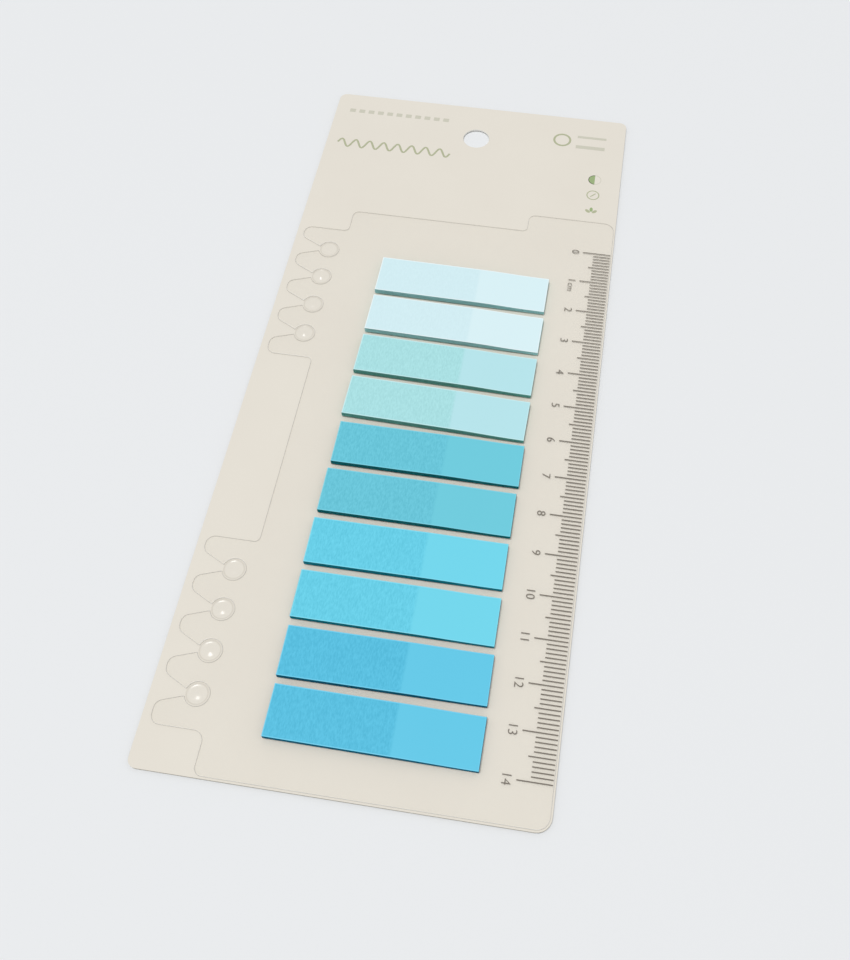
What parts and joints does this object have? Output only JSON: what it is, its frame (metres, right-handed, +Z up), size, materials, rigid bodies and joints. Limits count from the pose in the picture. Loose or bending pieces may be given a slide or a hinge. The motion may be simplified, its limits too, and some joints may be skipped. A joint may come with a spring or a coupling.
{
  "type": "sticky index tabs on a ruler board",
  "caption": "Pads of sticky film index tabs in blue shades on a clear notched ruler board that clips into ring binders, with a hang card behind.",
  "frame": {"origin": "middle of the card's underside, on the surface it lies on", "axes": "+X towards the ruler's scale, +Y towards the card's header and hang hole, +Z up out of the tab pads"},
  "size_m": [0.085, 0.2014, 0.0022],
  "materials": {
    "card": "smooth coated card, warm off-white",
    "clear_board": "clear plastic sheet, smooth",
    "film_ice": "satin film, very pale icy blue",
    "film_aqua": "satin film, pale aqua",
    "film_teal": "satin film, teal blue",
    "film_sky": "satin film, sky blue",
    "film_blue": "satin film, deeper sky blue"
  },
  "bodies": {
    "root": {"backing_card": "card", "ruler_board": "clear_board", "tab_pad_01": "film_ice", "tab_pad_02": "film_ice", "tab_pad_03": "film_aqua", "tab_pad_04": "film_aqua", "tab_pad_05": "film_teal", "tab_pad_06": "film_teal", "tab_pad_07": "film_sky", "tab_pad_08": "film_sky", "tab_pad_09": "film_blue", "tab_pad_10": "film_blue"}
  },
  "joints": []
}
